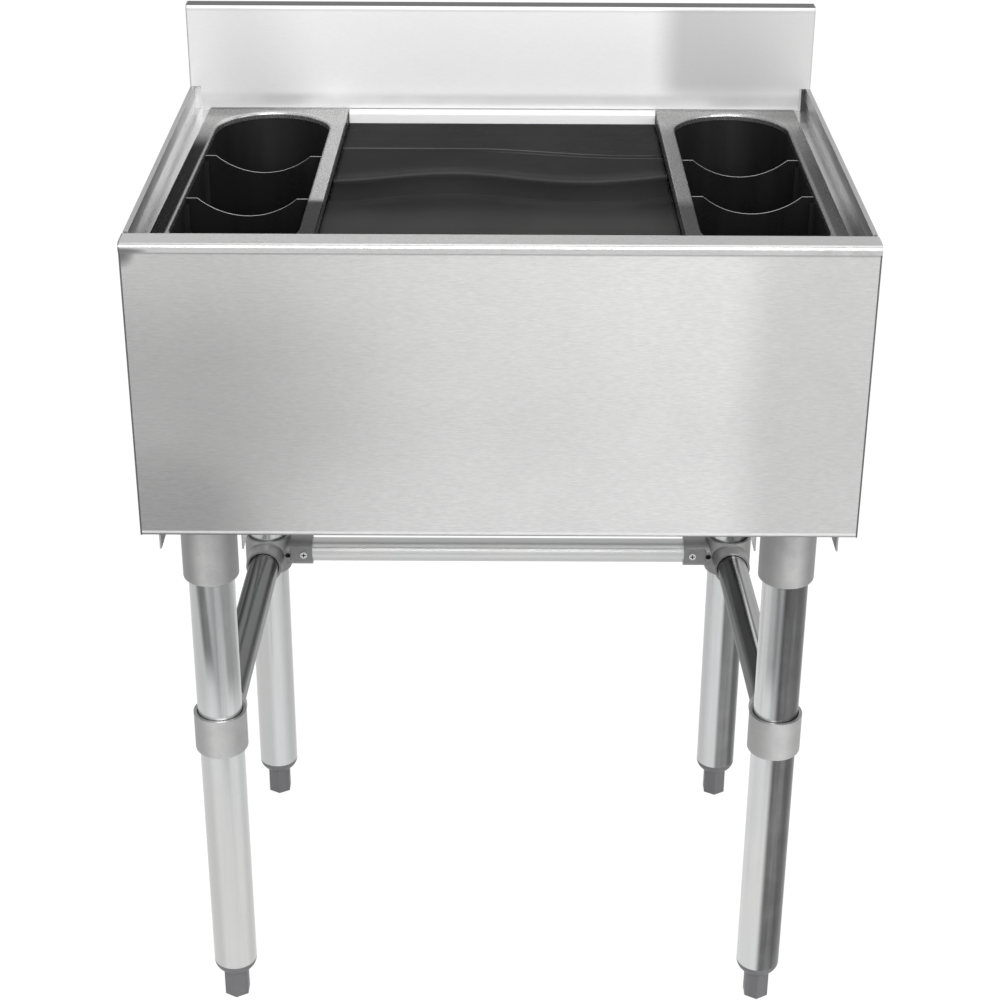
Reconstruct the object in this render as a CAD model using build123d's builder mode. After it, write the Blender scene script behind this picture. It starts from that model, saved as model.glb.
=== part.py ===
from build123d import *
from math import cos, radians, sin, sqrt, tan
import os

os.makedirs("parts", exist_ok=True)

# An underbar ice bin: an insulated stainless box on four pipe legs, with a lift-out bottle
# holder at each end, a plastic lid between the holders and a splash along the back.
# Millimetres. X runs along the front, Y from the front to the back and Z up from the floor.
# The origin is on the floor, under the middle of the bin.

# Overall size
width = 609.6
depth = 470.0
rim_height = 814.0
body_height = 262.5

half_width = width / 2
front = -depth / 2
back = depth / 2
body_bottom = rim_height - body_height

# Sheet metal of the body
skin = 1.2
seam = 0.2
sheet_round = 1.0
flange = 12.0
return_depth = 14.0
rim_width = 27.0
rim_lip = 8.0
rim_bend = 4.0
hem_width = 4.4
hem_leg = 11.0
hem_round = 0.7
splash_rise = 80.0
splash_depth = 20.0
splash_lip = 12.0
splash_bend = 3.0
apron_notch = 10.8
apron_gap = 1.0

splash_front = back - splash_depth
splash_top = rim_height + splash_rise
panel_front = front + skin
panel_top = rim_height - skin - rim_bend
panel_half = half_width - skin - seam
side_inner = half_width - skin
rim_rear = front + rim_width

# Top deck with its ledge, and the basin that holds the ice
deck_sheet = 1.0
ledge_drop = 23.0
basin_gap = 1.0
basin_side_gap = 4.0
basin_corner = 16.0
basin_depth = 185.0
floor_fall = 8.0
sump_size = 90.0

ledge = rim_height - ledge_drop
deck_half = side_inner - seam
upstand_inner = deck_half - deck_sheet
deck_front = panel_front + 2 * skin
deck_rear = splash_front + skin

# Lift-out bottle holders: a steel frame with a drawn hole and a plastic well under it
holder_inset = 81.8
holder_width = 137.0
holder_sheet = 1.0
holder_skirt = 11.0
hole_width = 108.6
border_front = 19.0
border_rear = 9.4
frame_gap = 3.0
splash_gap = 1.6
collar_depth = 6.5
collar_sheet = 1.0
collar_bend = 3.0
skirt_bend = 1.4
skirt_inset = 4.0
holder_shift = {"left": 1.7, "right": -0.4}
skew = {"left": -1.03, "right": 0.25}

holder_x = half_width - holder_inset
hole_rear = splash_front - splash_gap - border_rear
hole_front = rim_rear + frame_gap + border_front
hole_length = hole_rear - hole_front
holder_y = (hole_front + hole_rear) / 2

well_gap = 0.3
well_wall = 2.2
well_floor = 2.5
well_depth = 160.0
well_round = 12.0
well_flange = 2.0
well_flange_side = 4.0
well_flange_end = 2.5
well_flange_corner = 22.0

stud_radius = 2.5
stud_length = 9.0
stud_inset_x = 10.0
stud_inset_y = 10.5
nut_size = 9.0
nut_height = 4.0

well_inner = hole_width + 2 * (collar_sheet + well_gap)
well_outer = well_inner + 2 * well_wall
well_inner_length = hole_length + 2 * (collar_sheet + well_gap)
well_outer_length = well_inner_length + 2 * well_wall
well_flange_width = hole_width + 2 * well_flange_side
well_flange_length = hole_length + 2 * well_flange_end

divider_sheet = 1.5
divider_drop = 3.0
divider_end = 10.0
divider_scoop = 16.0
divider_gap = 0.3
divider_side_gap = 0.5
rib_width = 1.4
rib_depth = 4.5
rib_drop = 9.0
divider_places = {"left": (65.0, -57.0), "right": (58.0, -46.0)}

# Basin walls stand just clear of the wells
basin_half_x = holder_x + well_outer / 2 + basin_side_gap
basin_front = holder_y - well_outer_length / 2 - basin_gap
basin_rear = holder_y + well_outer_length / 2 + basin_gap
basin_size_x = 2 * basin_half_x
basin_size_y = basin_rear - basin_front
basin_y = (basin_front + basin_rear) / 2
basin_low = ledge - basin_depth
sump_floor = basin_low - floor_fall

# Lid and the two rests that carry it between the holders
lid_side_gap = 0.8
lid_sheet = 3.0
lid_drop = 8.8
lid_gap = 0.6
lid_corner = 4.0
lid_round = 0.9
rest_sheet = 1.0
rest_side_gap = 1.0
rest_gap = 0.3
rest_top = 14.0
rest_foot = 12.0

lid_top = ledge - lid_drop
lid_bottom = lid_top - lid_sheet
rest_rear_step = splash_front - rest_gap - rest_top
rest_front_step = basin_front + rest_sheet

# Drain through the lowest point of the floor
tail_radius = 16.7
tail_bore = 13.0
tail_drop = 46.5
spigot_radius = 15.875
spigot_length = 40.0
drain_flange_radius = 35.0
drain_flange_height = 3.0
drain_gap = 0.3
strainer_radius = 19.0
strainer_height = 1.5
strainer_hole = 2.0
strainer_pitch = 6.6
strainer_rings = 2
strainer_first_ring = 6
gasket_radius = 29.0
gasket_height = 2.0
locknut_size = 50.0
locknut_height = 8.0
foam_drain_radius = 36.0

tail_end = body_bottom - tail_drop

# Legs, their sockets and the channels that carry them
pipe_radius = 20.65
pipe_wall = 1.6
pipe_low = 42.5
leg_inset = {"front": 46.8, "rear": 56.8}
leg_front_inset = 76.0
leg_rear_inset = 40.0
channel_centre_inset = 47.8
channel_width = 72.5
channel_drop = 25.4
channel_sheet = 1.5
channel_inset = 24.0
socket_radius = 25.0
socket_drop = 79.5
socket_gap = 0.35
socket_cap = 6.0
socket_round = 3.0

leg_x = {row: half_width - inset for row, inset in leg_inset.items()}
leg_y = {"front": front + leg_front_inset, "rear": back - leg_rear_inset}
channel_x = half_width - channel_centre_inset
channel_top = body_bottom + skin
socket_low = body_bottom - socket_drop
socket_top = channel_top - channel_sheet
pipe_top = socket_top - socket_cap

# Feet
plug_gap = 0.1
plug_length = 25.0
bowl_drop = 11.5
bowl_radius = 12.6
stem_radius = 6.0
stem_gap = 0.1
stem_length = 35.0
foot_size = 22.5
foot_chamfer = 1.0

bowl_low = pipe_low - bowl_drop

# Braces between the legs
brace_height = 310.0
collar_radius = 24.5
collar_gap = 0.85
collar_height = 40.0
collar_bevel = 2.0
rail_radius = 15.875
rail_wall = 1.6
rail_gap = 0.6
rail_socket_radius = 18.75
rail_socket_reach = 42.0
rail_stop = 27.0
end_gap = 0.3
cross_rail_radius = 12.7
cross_rail_wall = 1.2
cross_gap = 0.5
sleeve_radius = 16.0
sleeve_reach = 48.0
sleeve_stop = 29.0
sleeve_flat = 13.5

# Screws
set_screw_radius = 3.0
set_screw_gap = 0.05
socket_screw_height = 18.0
rail_screw_reach = 36.0
collar_screw_angle = 25.0
pad_screw_radius = 2.1
pad_screw_reach = 39.0
pad_head_radius = 3.7
pad_head_height = 2.2
pad_slot = 1.0
pad_hole_radius = 2.8
pad_hole_reach = 22.0

sides = {"left": -1, "right": 1}
legs = [(row, side) for row in ("front", "rear") for side in ("left", "right")]


def block(x_span, y_span, z_span, mode=Mode.ADD):
    """A box between two values on each axis."""
    middle = [(low + high) / 2 for low, high in (x_span, y_span, z_span)]
    size = [abs(high - low) for low, high in (x_span, y_span, z_span)]
    with Locations(tuple(middle)):
        Box(*size, mode=mode)


def sheet_strip(points, bend, sheet, x_start, length):
    """A folded strip of sheet: its middle line is drawn in Y and Z and runs along X."""
    with BuildSketch(Plane.YZ.offset(x_start)) as section:
        with BuildLine():
            FilletPolyline(*points, radius=bend)
        trace(line_width=sheet)
    extrude(section.sketch, amount=length)


def rod(start, direction, radius, length, mode=Mode.ADD):
    """A round bar from a point along a direction."""
    with BuildSketch(Plane(origin=start, z_dir=direction)) as section:
        Circle(radius)
    extrude(section.sketch, amount=length, mode=mode)


def skirt_x(name, y):
    """X of a holder's inner edge, the one beside the lid, at a place in Y."""
    middle = sides[name] * holder_x + holder_shift[name]
    return middle - sides[name] * holder_width / 2 - tan(radians(skew[name])) * (y - holder_y)


# Front rim: a cap with a lip over the front panel and a leg down to the ledge
with BuildPart() as rim_cap:
    cap_line = [
        (front + skin / 2, rim_height - rim_lip),
        (front + skin / 2, rim_height - skin / 2),
        (rim_rear - skin / 2, rim_height - skin / 2),
        (rim_rear - skin / 2, ledge),
    ]
    sheet_strip(cap_line, rim_bend, skin, -half_width, width)
    for sign in sides.values():
        end_cut = (sign * (upstand_inner - seam), sign * (half_width + skin))
        leg_cut = (rim_rear - skin - rim_bend, rim_rear + skin)
        block(end_cut, leg_cut, (ledge - skin, rim_height - skin), mode=Mode.SUBTRACT)
rim_cap.part.label = "rim_cap"
export_step(rim_cap.part, "parts/rim_cap.step")

# Front panel, with a return under the bottom pan
with BuildPart() as front_panel:
    block((-panel_half, panel_half), (panel_front, panel_front + skin), (body_bottom, panel_top))
    block(
        (-panel_half, panel_half),
        (panel_front, panel_front + return_depth),
        (body_bottom, body_bottom + skin),
    )
    folded_edge = front_panel.edges().filter_by(Axis.X).group_by(Axis.Y)[0].sort_by(Axis.Z)[0]
    fillet(folded_edge, sheet_round)
front_panel.part.label = "front_panel"
export_step(front_panel.part, "parts/front_panel.step")

# Back panel, the same way round
with BuildPart() as back_panel:
    block((-panel_half, panel_half), (back - skin, back), (body_bottom, panel_top))
    block((-panel_half, panel_half), (back - return_depth, back), (body_bottom, body_bottom + skin))
back_panel.part.label = "back_panel"
export_step(back_panel.part, "parts/back_panel.step")

# Side panels: a sheet with a flange at each end and a hem that hooks over the deck
hem_start = rim_rear + seam
for name, sign in sides.items():
    with BuildPart() as side_panel:
        with BuildSketch(Plane.YZ.offset(sign * side_inner)) as side_outline:
            with BuildLine():
                Polyline(
                    (panel_front, body_bottom),
                    (back, body_bottom),
                    (back, rim_height - skin),
                    (hem_start, rim_height - skin),
                    (hem_start, rim_height - skin - seam),
                    (panel_front + seam, rim_height - skin - seam),
                    (panel_front + seam, rim_height - rim_lip - seam),
                    (panel_front, rim_height - rim_lip - seam),
                    close=True,
                )
            make_face()
            rim_corner = side_outline.vertices().group_by(Axis.Y)[-2].sort_by(Axis.X)[0]
            fillet(rim_corner, rim_bend - skin / 2)
        extrude(amount=sign * skin)
        flange_span = (sign * (side_inner - flange), sign * side_inner)
        block(flange_span, (panel_front + skin, deck_front), (body_bottom + skin, panel_top))
        block(flange_span, (back - 2 * skin, back - skin), (body_bottom + skin, panel_top))
        hem_inner = half_width - hem_width
        block(
            (sign * hem_inner, sign * half_width),
            (hem_start, back),
            (rim_height - skin, rim_height),
        )
        block(
            (sign * hem_inner, sign * (hem_inner + skin)),
            (hem_start, deck_rear),
            (rim_height - skin - hem_leg, rim_height),
        )
        hem_edges = side_panel.edges().filter_by(Axis.Y).group_by(Axis.Z)[-1]
        fillet(hem_edges, hem_round)
    side_panel.part.label = f"side_panel_{name}"
    export_step(side_panel.part, f"parts/{side_panel.part.label}.step")

# Bottom pan, folded up on all four edges, with the hole for the drain
pan_floor = body_bottom + skin
pan_rear = back - 2 * skin
with BuildPart() as bottom_pan:
    block((-side_inner, side_inner), (deck_front, pan_rear), (pan_floor, pan_floor + flange))
    block(
        (-side_inner + skin, side_inner - skin),
        (deck_front + skin, pan_rear - skin),
        (pan_floor + skin, pan_floor + flange + skin),
        mode=Mode.SUBTRACT,
    )
    with Locations((0, basin_y, pan_floor)):
        Hole(tail_radius + drain_gap)
bottom_pan.part.label = "bottom_pan"
export_step(bottom_pan.part, "parts/bottom_pan.step")


def basin(grow, mode=Mode.ADD):
    """The basin's space, grown by a margin: straight walls over a floor that falls to the sump."""
    size_x = basin_size_x + 2 * grow
    size_y = basin_size_y + 2 * grow
    with BuildSketch(Plane((0, basin_y, basin_low - grow))) as walls:
        RectangleRounded(size_x, size_y, basin_corner + grow)
    extrude(walls.sketch, amount=basin_depth + grow, mode=mode)
    with BuildSketch(Plane((0, basin_y, basin_low - grow))) as floor_edge:
        Rectangle(size_x - 2 * basin_corner, size_y - 2 * basin_corner)
    with BuildSketch(Plane((0, basin_y, sump_floor - grow))) as sump:
        Rectangle(sump_size + 2 * grow, sump_size + 2 * grow)
    loft([floor_edge.sketch, sump.sketch], mode=mode)


# Ice basin: the welded tub, with a hole for the drain
with BuildPart() as ice_basin:
    basin(deck_sheet)
    basin(0, mode=Mode.SUBTRACT)
    with Locations((0, basin_y, sump_floor)):
        Hole(tail_radius + drain_gap)
ice_basin.part.label = "ice_basin"
export_step(ice_basin.part, "parts/ice_basin.step")

# Top deck: the ledge round the basin, with upstands under the rim, the hems and the splash
with BuildPart() as top_deck:
    ledge_span = (ledge - deck_sheet, ledge)
    block((-deck_half, deck_half), (deck_front, deck_rear + deck_sheet), ledge_span)
    front_upstand = (ledge - deck_sheet, panel_top - seam)
    block((-upstand_inner, upstand_inner), (deck_front, deck_front + deck_sheet), front_upstand)
    rear_upstand = (ledge - deck_sheet, rim_height - skin - seam)
    block((-deck_half, deck_half), (deck_rear, deck_rear + deck_sheet), rear_upstand)
    top_flange = (rear_upstand[1] - deck_sheet, rear_upstand[1])
    block((-deck_half, deck_half), (deck_rear, back - 2 * skin - seam), top_flange)
    for sign in sides.values():
        wall = (sign * upstand_inner, sign * deck_half)
        block(wall, (rim_rear + seam, deck_rear), rear_upstand)
    basin(deck_sheet, mode=Mode.SUBTRACT)
top_deck.part.label = "top_deck"
export_step(top_deck.part, "parts/top_deck.step")

# Foamed insulation between the basin, the deck and the panels
foam_half = side_inner - skin - seam
foam_front = deck_front + skin + seam
foam_rear = pan_rear - skin - seam
foam_low = pan_floor + skin
with BuildPart() as insulation:
    block((-foam_half, foam_half), (foam_front, foam_rear), (foam_low, ledge - deck_sheet))
    basin(deck_sheet + seam, mode=Mode.SUBTRACT)
    with Locations((0, basin_y, sump_floor)):
        Hole(foam_drain_radius)
insulation.part.label = "insulation"
export_step(insulation.part, "parts/insulation.step")

# Splash: an apron down to the ledge, a top return, a rear lip and two closed ends
with BuildPart() as backsplash:
    splash_line = [
        (splash_front + skin / 2, ledge + holder_sheet + apron_gap),
        (splash_front + skin / 2, splash_top - skin / 2),
        (back - skin / 2, splash_top - skin / 2),
        (back - skin / 2, splash_top - splash_lip),
    ]
    sheet_strip(splash_line, splash_bend, skin, -half_width, width)
    for sign in sides.values():
        with BuildSketch(Plane.YZ.offset(sign * side_inner)) as end_outline:
            with Locations((splash_front + splash_depth / 2, rim_height + splash_rise / 2)):
                Rectangle(splash_depth, splash_rise)
            fillet(end_outline.vertices().group_by(Axis.Y)[-1], splash_bend + skin / 2)
        extrude(amount=sign * skin)
        notch = (sign * (half_width - apron_notch), sign * (half_width + skin))
        block(notch, (splash_front - skin, back), (ledge, rim_height), mode=Mode.SUBTRACT)
backsplash.part.label = "backsplash"
export_step(backsplash.part, "parts/backsplash.step")

# Lid rests: folded strips on the ledge, with a step down and a foot under the lid's edge
rest_sketches = {
    "rear": [
        (splash_front - rest_gap, ledge + rest_sheet / 2),
        (rest_rear_step + rest_sheet / 2, ledge + rest_sheet / 2),
        (rest_rear_step + rest_sheet / 2, lid_bottom - rest_sheet / 2),
        (rest_rear_step - rest_foot, lid_bottom - rest_sheet / 2),
    ],
    "front": [
        (rim_rear + seam, ledge + rest_sheet / 2),
        (rest_front_step + rest_sheet / 2, ledge + rest_sheet / 2),
        (rest_front_step + rest_sheet / 2, lid_bottom - rest_sheet / 2),
        (rest_front_step + rest_sheet + rest_foot, lid_bottom - rest_sheet / 2),
    ],
}
rest_reach = {"rear": splash_front, "front": rest_front_step}
for place, points in rest_sketches.items():
    rest_left = skirt_x("left", rest_reach[place]) + rest_side_gap
    rest_right = skirt_x("right", rest_reach[place]) - rest_side_gap
    with BuildPart() as lid_rest:
        sheet_strip(points, rest_sheet, rest_sheet, rest_left, rest_right - rest_left)
    lid_rest.part.label = f"lid_rest_{place}"
    export_step(lid_rest.part, f"parts/{lid_rest.part.label}.step")

# Lid: one plastic sheet that drops in between the two steps, its sides along the skirts
lid_rear = rest_rear_step - lid_gap
lid_front = rest_front_step + rest_sheet + lid_gap
with BuildPart() as lid:
    with BuildSketch(Plane((0, 0, lid_bottom))) as lid_outline:
        with BuildLine():
            Polyline(
                (skirt_x("left", lid_front) + lid_side_gap, lid_front),
                (skirt_x("right", lid_front) - lid_side_gap, lid_front),
                (skirt_x("right", lid_rear) - lid_side_gap, lid_rear),
                (skirt_x("left", lid_rear) + lid_side_gap, lid_rear),
                close=True,
            )
        make_face()
        fillet(lid_outline.vertices(), lid_corner)
    extrude(amount=lid_sheet)
    fillet(lid.faces().sort_by(Axis.Z)[-1].edges(), lid_round)
lid.part.label = "lid"
export_step(lid.part, "parts/lid.step")

# Bottle holders, each on its own plane at the middle of its hole, level with the ledge
frame_front = -hole_length / 2 - border_front
frame_rear = hole_length / 2 + border_rear
stud_x = well_flange_width / 2 - stud_inset_x
stud_y = well_flange_length / 2 - stud_inset_y
stud_places = [(x, y) for x in (-stud_x, stud_x) for y in (-stud_y, stud_y)]
for name, sign in sides.items():
    turn = radians(skew[name])
    holder_place = (sign * holder_x + holder_shift[name], holder_y, ledge)
    holder_plane = Plane(holder_place, x_dir=(cos(turn), sin(turn), 0))
    half_holder = holder_width / 2

    # Frame: flat border, skirt beside the lid, collar drawn down round the hole, weld studs
    with BuildPart(holder_plane) as bottle_frame:
        block((-half_holder, half_holder), (frame_front, frame_rear), (0, holder_sheet))
        with BuildSketch(holder_plane.offset(holder_sheet)):
            SlotOverall(hole_length + 2 * collar_sheet, hole_width + 2 * collar_sheet, rotation=90)
        extrude(amount=-collar_depth)
        with BuildSketch(holder_plane.offset(holder_sheet)):
            SlotOverall(hole_length, hole_width, rotation=90)
        extrude(amount=-collar_depth, mode=Mode.SUBTRACT)
        plate_top = bottle_frame.faces().filter_by(Axis.Z).sort_by(Axis.Z)[-1]
        plate_under = bottle_frame.faces().filter_by(Axis.Z).sort_by(Axis.Z)[-2]
        fillet(plate_under.inner_wires()[0].edges(), collar_bend - collar_sheet)
        fillet(plate_top.inner_wires()[0].edges(), collar_bend)
        skirt_ends = (-hole_length / 2 + skirt_inset, hole_length / 2 - skirt_inset)
        skirt_span = (-sign * half_holder, -sign * (half_holder - holder_sheet))
        block(skirt_span, skirt_ends, (holder_sheet - holder_skirt, holder_sheet))
        along_holder = Axis(holder_plane.origin, holder_plane.y_dir)
        towards_lid = Axis(holder_plane.origin, holder_plane.x_dir * -sign)
        top_edges = bottle_frame.edges().filter_by(along_holder).group_by(Axis.Z)[-1]
        fillet(top_edges.sort_by(towards_lid)[-1], skirt_bend)
        with BuildSketch(holder_plane):
            with Locations(*stud_places):
                Circle(stud_radius)
        extrude(amount=-stud_length)
    bottle_frame.part.label = f"bottle_frame_{name}"
    export_step(bottle_frame.part, f"parts/{bottle_frame.part.label}.step")

    # Space inside the well's tub
    with BuildPart() as tub_space:
        with BuildSketch(holder_plane.offset(well_floor - well_depth)):
            SlotOverall(well_inner_length, well_inner, rotation=90)
        extrude(amount=well_depth - well_floor)
        fillet(tub_space.faces().sort_by(Axis.Z)[0].edges(), well_round - well_wall)

    # Well: a flange against the frame, a stadium-shaped tub and guide ribs for the dividers
    rib_middle = (divider_sheet + rib_width) / 2 + divider_gap
    rib_places = [
        (hand * (well_inner - rib_depth) / 2, place + rib_side * rib_middle)
        for place in divider_places[name]
        for hand in (-1, 1)
        for rib_side in (-1, 1)
    ]
    with BuildPart() as bottle_well:
        with BuildSketch(holder_plane):
            RectangleRounded(well_flange_width, well_flange_length, well_flange_corner)
        extrude(amount=-well_flange)
        with BuildSketch(holder_plane):
            SlotOverall(well_outer_length, well_outer, rotation=90)
        extrude(amount=-well_depth)
        fillet(bottle_well.faces().sort_by(Axis.Z)[0].edges(), well_round)
        add(tub_space.part, mode=Mode.SUBTRACT)
        mouth = bottle_well.faces().filter_by(Axis.Z).sort_by(Axis.Z)[-1].inner_wires()[0].edges()
        fillet(mouth, collar_bend - collar_sheet)
        with BuildSketch(holder_plane.offset(-rib_drop)):
            with Locations(*rib_places):
                Rectangle(rib_depth, rib_width)
        extrude(amount=rib_drop + well_floor + well_round - well_depth)
        with BuildSketch(holder_plane):
            with Locations(*stud_places):
                Circle(stud_radius + set_screw_gap)
        extrude(amount=-well_flange, mode=Mode.SUBTRACT)
    bottle_well.part.label = f"bottle_well_{name}"
    export_step(bottle_well.part, f"parts/{bottle_well.part.label}.step")

    # Nuts on the weld studs, under the well's flange
    with BuildPart(holder_plane) as well_nuts:
        with BuildSketch(holder_plane.offset(-well_flange)):
            with Locations(*stud_places):
                RegularPolygon(nut_size / 2, 6, major_radius=False)
                Circle(stud_radius + set_screw_gap, mode=Mode.SUBTRACT)
        extrude(amount=-nut_height)
    well_nuts.part.label = f"well_nuts_{name}"
    export_step(well_nuts.part, f"parts/{well_nuts.part.label}.step")

    # Dividers: thin plates between the ribs, with a scoop along the top
    for number, place in enumerate(divider_places[name], start=1):
        divider_low = well_floor - well_depth + divider_gap
        divider_half = hole_width / 2 - divider_side_gap
        scoop_half = divider_half - divider_end
        scoop_low = (0, -divider_drop - divider_scoop)
        corner = well_round - well_wall + divider_gap
        across = Plane(
            origin=holder_plane.from_local_coords(Vector(0, place, 0)),
            x_dir=holder_plane.x_dir,
            z_dir=-holder_plane.y_dir,
        )
        with BuildPart() as divider:
            with BuildSketch(across) as plate:
                with BuildLine():
                    Polyline(
                        (-scoop_half, -divider_drop),
                        (-divider_half, -divider_drop),
                        (-divider_half, divider_low),
                        (divider_half, divider_low),
                        (divider_half, -divider_drop),
                        (scoop_half, -divider_drop),
                    )
                    ThreePointArc((scoop_half, -divider_drop), scoop_low, (-scoop_half, -divider_drop))
                make_face()
                fillet(plate.vertices().group_by(Axis.Y)[0], corner)
            extrude(amount=divider_sheet / 2, both=True)
        divider.part.label = f"divider_{name}_{number}"
        export_step(divider.part, f"parts/{divider.part.label}.step")

# Drain body: a flange in the sump and a threaded tail down through the floor
drain_plane = Plane((0, basin_y, sump_floor))
tail_length = sump_floor - tail_end
strainer_seat = drain_flange_height - strainer_height - drain_gap
with BuildPart(drain_plane) as drain_body:
    with BuildSketch(drain_plane):
        Circle(drain_flange_radius)
    extrude(amount=drain_flange_height)
    with BuildSketch(drain_plane):
        Circle(tail_radius)
    extrude(amount=spigot_length - tail_length)
    with BuildSketch(drain_plane.offset(spigot_length - tail_length)):
        Circle(spigot_radius)
    extrude(amount=-spigot_length)
    fillet(drain_body.faces().sort_by(Axis.Z)[-1].edges(), strainer_height)
    with BuildSketch(drain_plane.offset(drain_flange_height)):
        Circle(tail_bore)
    extrude(amount=-(tail_length + drain_flange_height), mode=Mode.SUBTRACT)
    with BuildSketch(drain_plane.offset(drain_flange_height)):
        Circle(strainer_radius + drain_gap)
    extrude(amount=strainer_seat - drain_flange_height, mode=Mode.SUBTRACT)
drain_body.part.label = "drain_body"
export_step(drain_body.part, "parts/drain_body.step")

# Strainer: a drilled disc that lies in the drain's mouth
with BuildPart() as strainer:
    with BuildSketch(drain_plane.offset(strainer_seat)):
        Circle(strainer_radius)
        Circle(strainer_hole, mode=Mode.SUBTRACT)
        for ring in range(1, strainer_rings + 1):
            with PolarLocations(ring * strainer_pitch, ring * strainer_first_ring):
                Circle(strainer_hole, mode=Mode.SUBTRACT)
    extrude(amount=strainer_height)
strainer.part.label = "drain_strainer"
export_step(strainer.part, "parts/drain_strainer.step")

# Rubber gasket and locknut under the basin
with BuildPart() as drain_gasket:
    with BuildSketch(drain_plane.offset(-deck_sheet)):
        Circle(gasket_radius)
        Circle(tail_radius + set_screw_gap, mode=Mode.SUBTRACT)
    extrude(amount=-gasket_height)
drain_gasket.part.label = "drain_gasket"
export_step(drain_gasket.part, "parts/drain_gasket.step")

with BuildPart() as drain_locknut:
    with BuildSketch(drain_plane.offset(-deck_sheet - gasket_height)):
        RegularPolygon(locknut_size / 2, 6, major_radius=False)
        Circle(tail_radius + set_screw_gap, mode=Mode.SUBTRACT)
    extrude(amount=-locknut_height)
drain_locknut.part.label = "drain_locknut"
export_step(drain_locknut.part, "parts/drain_locknut.step")

# Channels under the pan, open downwards, one along each side
for name, sign in sides.items():
    channel_span = (front + channel_inset, back - channel_inset)
    half_channel = channel_width / 2
    channel_low = body_bottom - channel_drop
    with BuildPart() as leg_channel:
        block(
            (sign * channel_x - half_channel, sign * channel_x + half_channel),
            channel_span,
            (channel_low, channel_top),
        )
        block(
            (
                sign * channel_x - half_channel + channel_sheet,
                sign * channel_x + half_channel - channel_sheet,
            ),
            (front, back),
            (channel_low - skin, socket_top),
            mode=Mode.SUBTRACT,
        )
    leg_channel.part.label = f"leg_channel_{name}"
    export_step(leg_channel.part, f"parts/{leg_channel.part.label}.step")

# Legs: socket, pipe, foot insert and levelling foot at each corner
pipe_bore = pipe_radius - pipe_wall
for row, name in legs:
    sign = sides[name]
    leg_place = (sign * leg_x[row], leg_y[row])
    label_end = f"{row}_{name}"

    # Socket: a blind cup welded to the channel, with a set screw behind
    with BuildPart() as leg_socket:
        with BuildSketch(Plane((*leg_place, socket_low))):
            Circle(socket_radius)
        extrude(amount=socket_top - socket_low)
        with BuildSketch(Plane((*leg_place, socket_low))):
            Circle(pipe_radius + socket_gap)
        extrude(amount=pipe_top - socket_low, mode=Mode.SUBTRACT)
        lower_rim = leg_socket.edges().filter_by(GeomType.CIRCLE).group_by(Axis.Z)[0]
        fillet(lower_rim.sort_by(SortBy.RADIUS)[-1], socket_round)
        screw_start = (*leg_place, socket_low + socket_screw_height)
        rod(screw_start, (0, 1, 0), set_screw_radius + set_screw_gap, socket_radius + skin, Mode.SUBTRACT)
    leg_socket.part.label = f"leg_socket_{label_end}"
    export_step(leg_socket.part, f"parts/{leg_socket.part.label}.step")

    with BuildPart() as leg_pipe:
        with BuildSketch(Plane((*leg_place, pipe_low))):
            Circle(pipe_radius)
            Circle(pipe_bore, mode=Mode.SUBTRACT)
        extrude(amount=pipe_top - pipe_low)
    leg_pipe.part.label = f"leg_pipe_{label_end}"
    export_step(leg_pipe.part, f"parts/{leg_pipe.part.label}.step")

    # Insert: a plug in the pipe and a bowl that narrows below it
    with BuildPart() as foot_insert:
        with BuildSketch(Plane((*leg_place, 0), x_dir=(1, 0, 0), z_dir=(0, -1, 0))):
            with BuildLine():
                bore_line = stem_radius + stem_gap
                plug_radius = pipe_bore - plug_gap
                bowl_edge = (pipe_radius, pipe_low)
                bowl_end = (bowl_radius, bowl_low)
                Polyline(
                    bowl_end,
                    (bore_line, bowl_low),
                    (bore_line, pipe_low + plug_length),
                    (plug_radius, pipe_low + plug_length),
                    (plug_radius, pipe_low),
                    bowl_edge,
                )
                TangentArc(bowl_edge, bowl_end, tangent=(0, -1))
            make_face()
        revolve(axis=Axis((*leg_place, 0), (0, 0, 1)))
    foot_insert.part.label = f"foot_insert_{label_end}"
    export_step(foot_insert.part, f"parts/{foot_insert.part.label}.step")

    # Levelling foot: a hexagonal body on a screw stem
    with BuildPart() as levelling_foot:
        with BuildSketch(Plane((*leg_place, 0))):
            RegularPolygon(foot_size / 2, 6, major_radius=False, rotation=30)
        extrude(amount=bowl_low)
        chamfer(levelling_foot.faces().sort_by(Axis.Z)[0].edges(), foot_chamfer)
        with BuildSketch(Plane((*leg_place, bowl_low))):
            Circle(stem_radius)
        extrude(amount=stem_length)
    levelling_foot.part.label = f"levelling_foot_{label_end}"
    export_step(levelling_foot.part, f"parts/{levelling_foot.part.label}.step")

# Side rails run from a front leg to the rear leg on the same side
rail_run = Vector(leg_x["rear"] - leg_x["front"], leg_y["rear"] - leg_y["front"], 0)
rail_length = rail_run.length - 2 * (rail_stop + end_gap)


def leg_point(row, sign, height=brace_height):
    """The middle of a leg at a height."""
    return Vector(sign * leg_x[row], leg_y[row], height)


def rail_direction(row, sign):
    """Along the side rail, away from the leg of this row."""
    run = Vector(sign * rail_run.X, rail_run.Y, 0).normalized()
    return run if row == "front" else -run


def collar_screw_direction(sign):
    """Outwards and a little to the rear, where the brace's screw presses on the leg."""
    angle = radians(collar_screw_angle)
    return Vector(sign * cos(angle), sin(angle), 0)


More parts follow.
